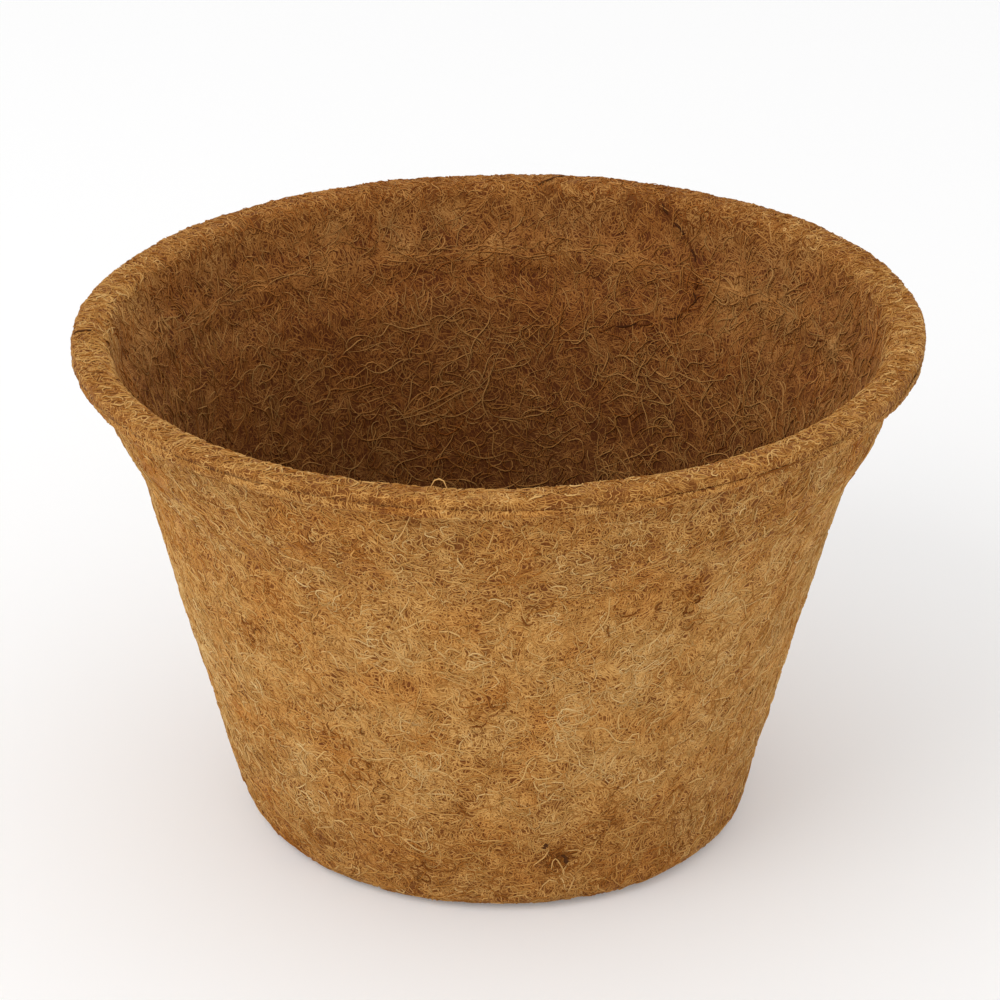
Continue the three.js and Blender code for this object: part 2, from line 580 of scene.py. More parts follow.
def felt_tree():
    """Turns a profile round the pot's axis and makes its shown face uneven, as pressed felt is."""
    given = new_tree(
        "Felt turned from a profile",
        [
            ("Profile", "Geometry"), ("Turn steps", "Int"), ("Lump height", "Float"),
            ("Lump size", "Float"), ("Dimple height", "Float"), ("Dimple size", "Float"),
            ("Inset", "Float"), ("Ridge", "Float"), ("Rim rise", "Float"), ("Rim dip", "Float"),
            ("Wall shift", "Float"), ("Foot shift", "Float"), ("Base lift", "Float"),
            ("Seed", "Int"), ("Material", "Material"),
        ],
    )
    profile = given["Profile"]
    count = given.add("GeometryNodeAttributeDomainSize", {"component": "MESH"}, {0: profile})
    rows = count["Point Count"]
    grid = given.add(
        "GeometryNodeMeshGrid",
        None,
        {"Size X": 1.0, "Size Y": 1.0, "Vertices X": given["Turn steps"] + 1, "Vertices Y": rows},
    )
    place = given.add("GeometryNodeInputPosition")
    flat = place.parts()
    turn, row = flat["X"] + 0.5, (flat["Y"] + 0.5) * (rows - 1) + 0.5

    def at_row(value, kind="FLOAT"):
        return given.add(
            "GeometryNodeSampleIndex",
            {"data_type": kind, "domain": "POINT"},
            {0: profile, "Value": value, "Index": row},
        )

    shell = stored(given, grid, "show", at_row(attribute(given, "show")))
    shell = stored(given, shell, "zone", at_row(attribute(given, "zone")))
    patch = joined(given, turn, at_row(attribute(given, "reach")), 0.0)
    shell = stored(given, shell, UV_NAME, patch, "FLOAT2", "CORNER")
    turned = given.add(
        "ShaderNodeVectorRotate",
        {"rotation_type": "Z_AXIS"},
        {"Vector": at_row(place, "FLOAT_VECTOR"), "Angle": turn * math.tau},
    )
    shell = given.add("GeometryNodeSetPosition", None, {0: shell, "Position": turned})
    shell = given.add("GeometryNodeMergeByDistance", None, {0: shell, "Distance": WELD_DISTANCE})
    shell = stored(given, shell, "zone", attribute(given, "zone"), "FLOAT", "FACE")

    show = attribute(given, "show")
    normal = given.add("GeometryNodeInputNormal")
    at = place.parts()
    height = at["Z"]
    swell = place.noise(given["Lump size"], given["Seed"]) * given["Lump height"] * 2
    pits = place.noise(given["Dimple size"], given["Seed"] + PIT_SEED) * given["Dimple height"] * 2
    lean = height.ease(*LEAN_HEIGHTS) - 1
    foot = 1 - height.ease(*FOOT_HEIGHTS)
    rim = height.ease(*RIM_HEIGHTS)
    base = 1 - height.ease(*BASE_HEIGHTS)
    ridge = height.ease(*RIDGE_FOOT_HEIGHTS) - height.ease(*RIDGE_TOP_HEIGHTS)
    forwards = (at["Y"] / -FOOT_REACH).clamped()
    across = lean * given["Wall shift"] + foot * forwards * given["Foot shift"]
    backwards = (at["Y"] / FELT_HIGH.x).clamped()
    tilt = at["X"] / FELT_HIGH.x * given["Rim rise"] - backwards * given["Rim dip"]
    up = rim * tilt + base * given["Base lift"]
    out = swell + pits + ridge * given["Ridge"] - given["Inset"]
    moved = normal.scaled(out).vector("ADD", joined(given, across, 0.0, up)).scaled(show)
    shell = given.add("GeometryNodeSetPosition", None, {0: shell, "Offset": moved})
    return end_tree(given, shell, given["Material"])


def laid_on(felt, place, lift):
    """The spot on a felt that is nearest to a place, and lifted off it."""
    nearest = place.add(
        "GeometryNodeProximity", {"target_element": "FACES"}, {0: felt, "Sample Position": place}
    )
    normal = place.add(
        "GeometryNodeSampleNearestSurface",
        {"data_type": "FLOAT_VECTOR"},
        {0: felt, "Value": place.add("GeometryNodeInputNormal"), "Sample Position": place},
    )
    return nearest.vector("ADD", normal.vector("NORMALIZE").scaled(lift))


def tubes_along(lines, radius, sides, share):
    """Tubes along lines that hold a tone, a hue and a place along. Each side is a share further round."""
    ring = lines.add(
        "GeometryNodeCurvePrimitiveCircle", {"mode": "RADIUS"}, {"Resolution": sides, "Radius": 1.0}
    )
    ring = stored(lines, ring, "around", lines.add("GeometryNodeInputIndex") * share)
    tubes = lines.add(
        "GeometryNodeCurveToMesh",
        None,
        {"Curve": lines, "Profile Curve": ring, "Scale": radius, "Fill Caps": True},
    )
    tone, hue = (
        attribute(lines, level) * MAP_ROOM + attribute(lines, place) * MAP_AREA + MAP_EDGE
        for level, place in (("tone", "around"), ("hue", "along"))
    )
    return stored(lines, tubes, UV_NAME, joined(lines, tone, hue, 0.0), "FLOAT2", "CORNER")


def fibre_tree():
    """Lays fibres on a zone of a felt: each one curls over the surface and sinks in at its ends."""
    given = new_tree(
        "Fibres on felt",
        [
            ("Felt", "Geometry"), ("Neighbour", "Object"), ("Zone", "Float"), ("Density", "Float"),
            ("Steps", "Int"), ("Length", "Float"), ("Thickness", "Float"), ("Lean", "Float"),
            ("Spread", "Float"), ("Swirl", "Float"), ("Curl", "Float"), ("Lift", "Float"),
            ("Sink", "Float"), ("Tone", "Float"), ("Tone spread", "Float"), ("Inside", "Float"),
            ("Gather", "Float"), ("Seed", "Int"), ("Material", "Material"),
        ],
    )
    felt, seed = given["Felt"], given["Seed"]
    here = given.add(
        "FunctionNodeCompare",
        {"data_type": "FLOAT", "operation": "EQUAL"},
        {"A": attribute(given, "zone"), "B": given["Zone"], "Epsilon": 0.1},
    )
    bloom, gather = attribute(given, "bloom"), given["Gather"]
    share = (bloom * gather).clamped() + 1 - gather.function("ABSOLUTE")
    roots = given.add(
        "GeometryNodeDistributePointsOnFaces",
        {"distribute_method": "RANDOM"},
        {"Mesh": felt, "Selection": here, "Density": given["Density"] * share, "Seed": seed},
    )
    neighbour = given.add("GeometryNodeObjectInfo", None, {"Object": given["Neighbour"]})["Geometry"]
    felts = given.add("GeometryNodeJoinGeometry", None, {0: felt})
    given.tree.links.new(neighbour.socket, felts.socket.node.inputs[0])
    place = given.add("GeometryNodeInputPosition")

    def chance(draw, who=None):
        """An even random value from -1 to 1 for each fibre."""
        who = who or attribute(given, "fibre", "INT")
        return given.add(
            "FunctionNodeRandomValue",
            {"data_type": "FLOAT"},
            {"Min": -1.0, "Max": 1.0, "ID": who, "Seed": seed + DRAWS[draw]},
        )

    index = given.add("GeometryNodeInputIndex")
    patch = place.noise(PATCH_SIZE, PATCH_SEED, 1.0) * PATCH_TONE
    tone = given["Tone"] + (patch + chance("tone", index)) * given["Tone spread"]
    # Painted shade and highlight by height, and spots of which a few are painted light
    tone = tone + height_tone_and_shade(place, given["Inside"]) + bloom * BLOOM_TONE
    tone = tone + place.noise(CLUMP_SIZE, CLUMP_SEED) * CLUMP_TONE
    husk = place.noise(HUSK_SIZE, HUSK_SEED, 2.0) * HUSK_HUE + chance("hue", index) * HUE_SPREAD
    husk = husk + 0.5 + bloom * BLOOM_HUE
    depth = place.parts()["Z"].ease(*DEEP_FIBRE_HEIGHTS)
    brown = (1 - husk).clamped() * (depth * (1 - LEAST_BROWN) + LEAST_BROWN) * BROWN_HUES
    # The felt's gold: browner towards the back partly as painted shade, with a painted highlight along the
    # ledge
    golden = brown + (1 - brown) * attribute(given, "golden")
    hue = husk + (golden - husk) * given["Inside"]
    fibres = stored(given, roots, "fibre", index, "INT")
    fibres = stored(given, fibres, "facing", roots["Normal"], "FLOAT_VECTOR")
    fibres = stored(given, fibres, "tone", tone.clamped(LOWEST_TONE))
    fibres = stored(given, fibres, "hue", hue.clamped())
    steps = given["Steps"]
    row = given.add("GeometryNodeDuplicateElements", {"domain": "POINT"}, {0: fibres, "Amount": steps})
    fibres = stored(given, row, "along", row["Duplicate Index"] / (steps - 1))

    fibre, along = attribute(given, "fibre", "INT"), attribute(given, "along")
    facing = attribute(given, "facing", "FLOAT_VECTOR")
    outward = place.vector("MULTIPLY", (1, 1, 0))
    level = joined(given, 0.0, 0.0, 1.0).vector("CROSS_PRODUCT", outward).vector("NORMALIZE")
    upright = facing.vector("CROSS_PRODUCT", level)
    swirl = place.noise(SWIRL_SIZE, seed + SWIRL_SEED) * given["Swirl"] * 2
    bend = chance("bend") * given["Curl"] * (along - 0.5)
    wave = (along * WAVE_TURNS + chance("wave") * WAVE_STARTS).function("SINE")
    wave = wave * given["Curl"] * WAVE_SHARE
    heading = given["Lean"] + chance("heading") * given["Spread"] + swirl + bend + wave
    stride = given["Length"] * (1 + chance("length") * LENGTH_SPREAD) / (steps - 1)
    stroke = level.scaled(heading.function("COSINE") * stride)
    stroke = stroke.vector("ADD", upright.scaled(heading.function("SINE") * stride))
    walk = given.add(
        "GeometryNodeAccumulateField",
        {"data_type": "FLOAT_VECTOR", "domain": "POINT"},
        {0: stroke, "Group ID": fibre},
    )
    aim = place.vector("ADD", walk["Trailing"]).vector("SUBTRACT", walk["Total"].scaled(0.5))
    arch = (along * math.pi).function("SINE")
    rise = (chance("lift") * 0.5 + 0.5) * given["Lift"]
    spot = laid_on(felts, aim, (rise + given["Sink"]) * arch ** 0.6 - given["Sink"]).parts()
    grounded = joined(given, spot["X"], spot["Y"], spot["Z"].at_least(given["Thickness"] * FIBRE_GROUND))
    fibres = given.add("GeometryNodeSetPosition", None, {0: fibres, "Position": grounded})
    lines = given.add(
        "GeometryNodePointsToCurves", None, {0: fibres, "Curve Group ID": fibre, "Weight": along}
    )
    taper = arch ** 0.5 * (1 - FIBRE_TIP) + FIBRE_TIP
    radius = given["Thickness"] * FIBRE_RADIUS * (1 + chance("thickness") * THICKNESS_SPREAD) * taper
    return end_tree(given, tubes_along(lines, radius, FIBRE_SIDES, FIBRE_SHARE), given["Material"])


def strand_tree():
    """Lays single strands over a felt along given paths: each one arches and ends in the felt."""
    given = new_tree(
        "Strands on felt",
        [
            ("Paths", "Geometry"), ("Felt", "Object"), ("Spacing", "Float"), ("Sink", "Float"),
            ("Material", "Material"),
        ],
    )
    felt = given.add("GeometryNodeObjectInfo", None, {"Object": given["Felt"]})["Geometry"]
    lines = given.add("GeometryNodeMeshToCurve", None, {0: given["Paths"]})
    lines = given.add("GeometryNodeCurveSplineType", {"spline_type": "CATMULL_ROM"}, {0: lines})
    spacing = {0: lines, "Length": given["Spacing"]}
    lines = given.add("GeometryNodeResampleCurve", {"mode": "LENGTH"}, spacing)
    lines = stored(given, lines, "along", given.add("GeometryNodeSplineParameter")["Factor"])
    along = attribute(given, "along")
    place = given.add("GeometryNodeInputPosition")
    arch = (along * math.pi).function("SINE")
    lift = (attribute(given, "lift") + given["Sink"]) * arch ** 0.5 - given["Sink"]
    laid = laid_on(felt, place, lift)
    lines = given.add("GeometryNodeSetPosition", None, {0: lines, "Position": laid})
    taper = arch ** 0.4 * (1 - STRAND_TIP) + STRAND_TIP
    radius = attribute(given, "thickness") * 0.5 * taper
    return end_tree(given, tubes_along(lines, radius, STRAND_SIDES, STRAND_SHARE), given["Material"])


def grown(tree, name, mesh, values):
    """Runs a tree on a mesh, with its inputs by name, and returns an object that holds the plain result."""
    piece = bpy.data.objects.new(name, mesh)
    bpy.context.scene.collection.objects.link(piece)
    modifier = piece.modifiers.new(name, "NODES")
    modifier.node_group = tree
    labels = {item.name: item.identifier for item in tree.interface.items_tree if item.in_out == "INPUT"}
    for label, value in values.items():
        modifier[labels[label]] = value
    evaluated = piece.evaluated_get(bpy.context.evaluated_depsgraph_get())
    made = bpy.data.meshes.new_from_object(evaluated)
    piece.modifiers.remove(modifier)
    piece.data = made
    made.name = name
    return piece


def named_tree(name, builder):
    """A tree that is built the first time it is asked for."""
    return bpy.data.node_groups.get(name) or builder()


def new_material(name, **constants):
    """A material with its constants set on the shader, and the wire and shader to build on."""
    material = bpy.data.materials.new(name)
    material.use_nodes = True
    tree = material.node_tree
    shader = next(n for n in tree.nodes if n.type == "BSDF_PRINCIPLED")
    for socket, value in constants.items():
        shader.inputs[socket.replace("_", " ")].default_value = value
    return material, Wire(tree), shader


def plug(wire, shader, name):
    wire.tree.links.new(wire.socket, shader.inputs[name])


def dent(height, shader, strength, distance):
    """Gives a surface small dents."""
    values = {"Strength": strength, "Distance": distance, "Height": height}
    plug(height.add("ShaderNodeBump", None, values), shader, "Normal")


def fibre_material(name, look, inner_tint=None):
    """Coconut fibre: each fibre takes one spot of a smooth range of shades, by its place on the map."""
    material, wire, shader = new_material(name, Roughness=0.75, Specular_IOR_Level=0.12)
    spot = wire.add("ShaderNodeUVMap", {"uv_map": UV_NAME}).parts()
    stops = [
        (0.02, look.black), (0.07, look.dark), (0.35, look.brown), (0.65, look.gold), (1.0, look.straw),
    ]
    shade = wire.add("ShaderNodeValToRGB", {"stops": stops}, {0: spot["X"]})
    if inner_tint:
        stops = [(0.0, INNER_DULL), (BROWN_HUES / 2, inner_tint), (BROWN_HUES, INNER_RUST), (1.0, WHITE)]
        shade = shade.tinted(wire.add("ShaderNodeValToRGB", {"stops": stops}, {0: spot["Y"]}), 1.0)
    else:
        shade = shade.tinted(RUST_TINT, (0.5 - spot["Y"]).clamped() * FIBRE_TINTING)
        shade = shade.tinted(STRAW_TINT, (spot["Y"] - 0.5).clamped() * FIBRE_TINTING)
    plug(shade, shader, "Base Color")
    return material


# The matted fibres in a felt: the directions of their layers, as turns in degrees, and their sizes
MAT_TURNS = ((0, 8, 20), (0, 52, 75), (0, -40, 130), (0, 85, 40), (0, -12, 165))
MAT_STRETCH = (3.2 * MM, 1.1 * MM, 1.1 * MM)
MAT_STRAND = 0.19 * MM  # from a strand's middle to its edge
MAT_STEP = 0.1 * MM  # over which the noise's slope is taken
LEAST_SLOPE = 0.002
MAT_CURLS = ((7 * MM, 6 * MM, 2.0), (2.2 * MM, 1.2 * MM, 5.0))  # size, reach and seed
MAT_FADE = 0.82  # of a layer, under the next

# Where strands show or sink in, larger patches and the finest grain
SHOWING_SIZE = 3 * MM
SHOWING_SEED = 20.0
MAT_PATCH_SIZE = 11 * MM
MAT_PATCH_SEED = 6.0
GRAIN_SIZE = 0.8 * MM
GRAIN_SEED = 30.0

# For the outside and the inside: a change of tone, and how strong the tint of rust is
MAT_TONES = (0.06, -0.06)
MAT_RUSTING = (4.0, 2.0)
MAT_STRAWING = 4.0


def felt_material(name, look, inside):
    """Matted fibre: layers of fine curly strands over dark pits, with a fine grain.

    A strand runs where a noise is zero, and the noise's slope keeps it even in width.
    """
    material, wire, shader = new_material(name, Roughness=0.85, Specular_IOR_Level=0.2)
    coordinates = wire.add("ShaderNodeTexCoord")
    place, normal = coordinates["Object"], coordinates["Normal"]
    around = place.vector("CROSS_PRODUCT", (0, 0, 1)).vector("NORMALIZE")
    upright = normal.vector("CROSS_PRODUCT", around)

    def curled(spot):
        """A place pushed about by slow swirls, so that straight strands come out curly."""
        for size, reach, seed in MAT_CURLS:
            swirl = spot.add(
                "ShaderNodeTexNoise",
                {"noise_dimensions": "4D"},
                {"Vector": spot, "W": seed, "Scale": 1 / size, "Detail": 0.0},
            )["Color"]
            spot = spot.vector("ADD", swirl.vector("SUBTRACT", (0.5, 0.5, 0.5)).scaled(reach))
        return spot

    spots = [curled(place)]
    spots += [curled(place.vector("ADD", side.scaled(MAT_STEP))) for side in (around, upright)]
    height = None
    for i, turn in enumerate(MAT_TURNS):
        here, beside, above = (
            wire.add(
                "ShaderNodeMapping",
                {"vector_type": "TEXTURE"},
                {
                    "Vector": spot,
                    "Rotation": tuple(math.radians(t) for t in turn),
                    "Scale": MAT_STRETCH,
                },
            ).noise(1.0, float(i))
            for spot in spots
        )
        slope = ((beside - here) ** 2.0 + (above - here) ** 2.0) ** 0.5
        apart = here.function("ABSOLUTE") / (slope + LEAST_SLOPE)
        strand = 1 - apart.ease(0.0, MAT_STRAND / MAT_STEP)
        strand = strand * (place.noise(SHOWING_SIZE, SHOWING_SEED + i) * 1.4 + 0.8)
        height = strand if height is None else (height * MAT_FADE).at_least(strand)
    bloom = wire.add("ShaderNodeAttribute", {"attribute_name": "bloom"})["Fac"]
    stops = [(0.15, look.pit), (0.5, look.strand), (1.0, look.pale_strand)]
    patch = place.noise(MAT_PATCH_SIZE, MAT_PATCH_SEED, 2.0)
    # Painted shade and highlight by height, and spots of which a few are painted light
    tone = height + patch * 0.5 + height_tone_and_shade(place, inside) + bloom * BLOOM_TONE
    tone = tone + place.noise(CLUMP_SIZE, CLUMP_SEED) * CLUMP_TONE
    shade = wire.add("ShaderNodeValToRGB", {"stops": stops}, {0: tone + MAT_TONES[inside]})
    husk = place.noise(HUSK_SIZE, HUSK_SEED, 2.0)
    shade = shade.tinted(RUST_TINT, (0.0 - husk).clamped() * MAT_RUSTING[inside])
    shade = shade.tinted(STRAW_TINT, husk.clamped() * MAT_STRAWING)
    if inside:
        # The felt's gold: browner towards the back partly as painted shade, with a painted highlight along
        # the ledge
        golden = wire.add("ShaderNodeAttribute", {"attribute_name": "golden"})["Fac"]
        shade = shade.tinted((*look.inner_tint, 1), 1 - golden)
        shade = shade.tinted(DEEP_TINT, 1 - place.parts()["Z"].ease(*DEEP_FELT_HEIGHTS))
    plug(shade, shader, "Base Color")
    dent(place.noise(GRAIN_SIZE, GRAIN_SEED, 1.0), shader, strength=0.6, distance=0.4 * MM)
    return material


def latex_material(look):
    """Dried latex: cloudy and slightly wrinkled."""
    material, wire, shader = new_material("dried_latex", Roughness=0.45)
    place = wire.add("ShaderNodeTexCoord")["Object"]
    cloud = (place.noise(CLOUD_SIZE, CLOUD_SEED, 3.0) + 0.35).clamped()
    shade = wire.add(
        "ShaderNodeMix",
        {"data_type": "RGBA"},
        {"Factor": cloud, "A": (*look.latex, 1), "B": (*CLOUDY_LATEX, 1)},
    )
    plug(shade, shader, "Base Color")
    dent(place.noise(WRINKLE_SIZE, WRINKLE_SEED, 2.0), shader, strength=0.3, distance=0.2 * MM)
    return material


class FibreLayer(NamedTuple):
    """One layer of fibres on a zone of a felt. Lengths are in millimetres and angles in degrees."""

    name: str
    zone: int
    per_cm2: float
    length: float = 18
    thickness: float = 0.31
    lean: float = 0
    spread: float = 180
    swirl: float = 60
    curl: float = 150
    lift: float = 0.25
    sink: float = 0.2
    tone: float = 0.5
    tone_spread: float = 0.27
    gather: float = 0
    steps: int = 8
    seed: int = 1


OUTER_LAYERS = (
    FibreLayer("outer_wall_fibres_1", WALL, 13, 6, steps=6, curl=300, lift=0.12, tone=0.58, seed=11),
    FibreLayer("outer_wall_fibres_2", WALL, 13, 8, steps=6, curl=320, lift=0.18, tone=0.62, seed=12),
    FibreLayer(
        "outer_wall_fibres_3", WALL, 5, 14, 0.28, curl=400, lift=0.16,
        tone=0.56, tone_spread=0.22, steps=14, seed=13,
    ),
    FibreLayer("outer_band_fibres", BAND, 26, 6, steps=7, curl=340, lift=0.15, tone=0.64, seed=14),
    FibreLayer("outer_band_straws", BAND, 12, 6, 0.3, curl=420, lift=0.25, tone=0.78, seed=18),
    FibreLayer("outer_tufts", WALL, 60, 8, 0.26, curl=320, lift=0.4, tone=0.66, gather=1, seed=16),
    FibreLayer("outer_knots", WALL, 70, 5, curl=320, lift=0.35, tone=0.22, gather=-1, seed=17),
    FibreLayer("base_fibres", FLOOR, 12, 9, steps=6, curl=240, lift=0.1, tone=0.6, seed=15),
)
RIM_UNDERSIDE_LAYERS = (
    FibreLayer("rim_underside_fibres", FLANGE, 34, 5, steps=6, curl=300, lift=0.1, tone=0.62, seed=21),
    FibreLayer("rim_edge_fibres", EDGE, 70, 4, 0.22, steps=6, curl=360, lift=0.1, tone=0.61, seed=22),
)
RIM_TOP_LAYERS = (
    FibreLayer("rim_top_fibres", FLANGE, 60, 4, steps=6, lean=90, spread=70, curl=220, tone=0.57, seed=35),
    FibreLayer("rim_lip_fibres", EDGE, 70, 4, 0.22, steps=6, curl=360, lift=0.1, tone=0.6, seed=36),
    FibreLayer("rim_straws", FLANGE, 16, 5, 0.3, curl=420, lift=0.3, tone=0.78, seed=39),
)
INNER_LAYERS = (
    FibreLayer(
        "inner_wall_fibres_1", WALL, 14, 7, 0.27, lean=90, spread=70, curl=200,
        tone=0.71, tone_spread=0.36, steps=6, seed=31,
    ),
    FibreLayer(
        "inner_wall_fibres_2", WALL, 8, 12, 0.29, lean=90, spread=120, curl=260, lift=0.5,
        tone=0.89, tone_spread=0.36, steps=9, seed=32,
    ),
    FibreLayer(
        "inner_band_fibres", BAND, 26, 7, 0.28, lean=90, spread=60, curl=160,
        tone=0.67, tone_spread=0.35, steps=6, seed=33,
    ),
    FibreLayer("inner_tufts", WALL, 60, 9, curl=300, lift=0.7, tone=0.75, gather=1, seed=38),
    FibreLayer("ledge_fibres", LEDGE, 36, 8, steps=7, curl=260, lift=0.5, tone=0.62, seed=37),
    FibreLayer("ledge_tufts", LEDGE, 90, 7, curl=360, lift=1.2, tone=0.85, gather=1, seed=40),
    FibreLayer("ridge_fibres", RIDGE, 30, 9, spread=18, swirl=20, curl=80, lift=0.3, tone=0.9, seed=41),
    FibreLayer("inner_floor_fibres", FLOOR, 14, 9, steps=6, curl=240, tone=0.6, seed=34),
)


def named_material(name, inner_tint=None):
    """A fibre material that is made the first time it is asked for."""
    look = bpy.context.scene.pot_fibres
    return bpy.data.materials.get(name) or fibre_material(name, look, inner_tint)


def lay_fibres(layers, felt_name, material, inside=False, neighbour=None):
    """Grows layers of fibres on a felt, each as a piece of its own. They may cross to a neighbour."""
    tree = named_tree("Fibres on felt", fibre_tree)
    felt = bpy.data.objects[felt_name]
    for layer in layers:
        piece = grown(
            tree,
            layer.name,
            felt.data.copy(),
            {
                "Neighbour": bpy.data.objects.get(neighbour) if neighbour else None,
                "Zone": float(layer.zone),
                "Density": layer.per_cm2 * 1e4,
                "Steps": layer.steps,
                "Length": layer.length * MM,
                "Thickness": layer.thickness * MM,
                "Lean": math.radians(layer.lean),
                "Spread": math.radians(layer.spread),
                "Swirl": math.radians(layer.swirl),
                "Curl": math.radians(layer.curl),
                "Lift": layer.lift * MM,
                "Sink": layer.sink * MM,
                "Tone": layer.tone,
                "Tone spread": layer.tone_spread,
                "Inside": float(inside),
                "Gather": float(layer.gather),
                "Seed": layer.seed,
                "Material": material,
            },
        )
        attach(piece, BODY)


class Spot(NamedTuple):
    """A tuft of paler husk or, below 0, a darker knot; a few wide ones are painted light. In the gold spots,
    husk that is more or less golden, and along the ledge a painted highlight.

    The turn is in degrees from the front towards the right, and lengths are in millimetres.
    """

    turn: float
    height: float
    radius: float
    strength: float


# The two wide pale spots on the wall's left and right sides, at turns 75 and -70, are painted light.
OUTER_SPOTS_AND_SIDE_LIGHT = (
    Spot(12, 16, 4, -0.7), Spot(20, 20, 5, -0.25), Spot(-15, 14, 5, -0.3), Spot(-28, 47, 8, -0.24),
    Spot(30, 92, 5, -0.36), Spot(13, 63, 3, 1), Spot(12, 56, 3, 0.7), Spot(7, 105, 8, -0.18),
    Spot(-20, 108, 3, -0.54), Spot(24, 71, 8, 0.3), Spot(-43, 74, 5, -0.24), Spot(-6, 78, 5, 0.4),
    Spot(32, 107, 3, -0.36), Spot(-30, 108, 3, -0.36), Spot(-39, 23, 3, 0.6), Spot(9, 91, 3, 0.6),
    Spot(-41, 37, 5, 0.35), Spot(-26, 94, 3, 0.6), Spot(-4, 112, 3, -0.36), Spot(-2, 63, 3, -0.36),
    Spot(-14, 45, 3, 0.6), Spot(-14, 59, 3, 0.6), Spot(38, 88, 5, 0.35), Spot(44, 52, 3, -0.3),
    Spot(-51, 40, 3, 0.5), Spot(-7, 34, 3, -0.3), Spot(19, 88, 3, -0.3), Spot(5.2, 93.2, 2.5, -0.55),
    Spot(7.2, 95.4, 2.5, -0.45),
    Spot(3, 36, 3, 0.5), Spot(-26, 62, 3, -0.3), Spot(17, 112, 3, -0.27), Spot(33, 83, 3, -0.24),
    Spot(42, 11, 3, -0.24), Spot(-22, 37, 3, -0.21), Spot(75, 55, 28, 0.3), Spot(-70, 50, 28, 0.3),
)
INNER_SPOTS = (
    Spot(-150, 85, 8, -0.34), Spot(-178, 59, 8, -0.3), Spot(150, 69, 8, -0.3), Spot(-151, 119, 5, 0.6),
    Spot(135, 102, 5, 0.6), Spot(-169, 72, 3, 0.8), Spot(-164, 116, 8, 0.3), Spot(-172, 119, 3, 0.7),
    Spot(-102, 113, 3, 0.6), Spot(166, 89, 3, -0.36), Spot(151, 89, 5, 0.35), Spot(130, 77, 5, -0.18),
    Spot(174, 91, 5, -0.18), Spot(-127, 119, 3, 0.5), Spot(-145, 118, 3, 0.5), Spot(-174, 74, 3, 0.5),
    Spot(-149, 110, 3, 0.5), Spot(161, 99, 3, 0.5), Spot(-164, 72, 3, 0.5), Spot(158, 92, 3, -0.27),
    Spot(143, 119, 3, 0.45), Spot(-136, 106, 3, -0.27), Spot(-168, 97, 3, -0.27), Spot(174, 75, 3, 0.45),
    Spot(-113, 92, 3, -0.27), Spot(-140, 71, 3, -0.24), Spot(152, 124.5, 2, -0.6),
    Spot(150, 121.5, 2.5, -0.7), Spot(147, 118.5, 2, -0.6), Spot(145.5, 115.5, 2, -0.7),
    Spot(144, 112.5, 2, -0.5), Spot(143.5, 105, 3, -0.7), Spot(144.5, 100.5, 3, -0.6),
    Spot(147, 97, 2, -0.4), Spot(151, 95.5, 2, -0.4), Spot(156, 94, 2.5, -0.6), Spot(139, 108, 3, 0.5),
    Spot(135, 108, 3, 0.7), Spot(129, 109, 4, 0.8),
    Spot(121, 110, 4, 1), Spot(115, 111, 3, 0.9), Spot(106, 109, 4, 0.9), Spot(98, 108, 3, 0.6),
    Spot(-96, 112, 4, 0.6), Spot(-110, 113, 4, 0.5), Spot(-76, 121, 6, 0.4), Spot(-88, 121, 6, 0.4),
    Spot(-100, 121, 6, 0.4), Spot(76, 128, 6, 0.4), Spot(84, 128, 6, 0.3), Spot(156, 126, 8, -0.5),
    Spot(97, 115, 7, -0.32), Spot(143.2, 109, 2, -0.6), Spot(180, 80, 26, -0.08),
)
# Along the ledge, at heights of 109 to 110 mm, the gold spots are a painted highlight.
GOLD_AND_LEDGE_HIGHLIGHT_SPOTS = (
    Spot(-72, 119, 7, 0.5), Spot(-86, 119, 8, 0.6), Spot(-102, 119, 8, 0.5), Spot(100, 119, 7, -0.4),
    Spot(112, 119, 7, -0.4), Spot(-135, 110, 4, 0.3), Spot(-150, 110, 4, 0.4), Spot(-164, 110, 4, 0.4),
    Spot(-178, 110, 4, 0.45), Spot(169, 110, 4, 0.5), Spot(157, 110, 4, 0.5), Spot(135, 109, 4, 0.5),
    Spot(126, 109, 4, 0.5), Spot(117, 110, 4, 0.5), Spot(107, 109, 4, 0.4),
)


def on_line(line, turn, height, radius=None):
    """The place on a turned line at a turn and height. On the flange, all one height, a radius is given."""
    if radius is None:
        heights = [point.y for point, _ in line]
        radius = numpy.interp(height * MM, heights, [point.x for point, _ in line]) / MM
    angle = math.radians(turn)
    return Vector((radius * math.sin(angle), -radius * math.cos(angle), height)) * MM


def places_of(mesh):
    """The places of a mesh's points, one row each."""
    places = numpy.empty(len(mesh.vertices) * 3)
    mesh.vertices.foreach_get("co", places)
    return places.reshape(-1, 3)


def spotted(places, line, spots):
    """The strength of the spots on a turned line that each place lies in."""
    strength = numpy.zeros(len(places))
    for spot in spots:
        apart = numpy.linalg.norm(places - on_line(line, spot.turn, spot.height), axis=1)
        strength += spot.strength * numpy.exp(-((apart / (spot.radius * MM)) ** 2))
    return strength


def mark_spots(mesh, line, spots):
    """Stores how pale or dark the husk is at each point of a felt; some wide spots are painted light."""
    bloom = spotted(places_of(mesh), line, spots)
    mesh.attributes.new("bloom", "FLOAT", "POINT").data.foreach_set("value", bloom)


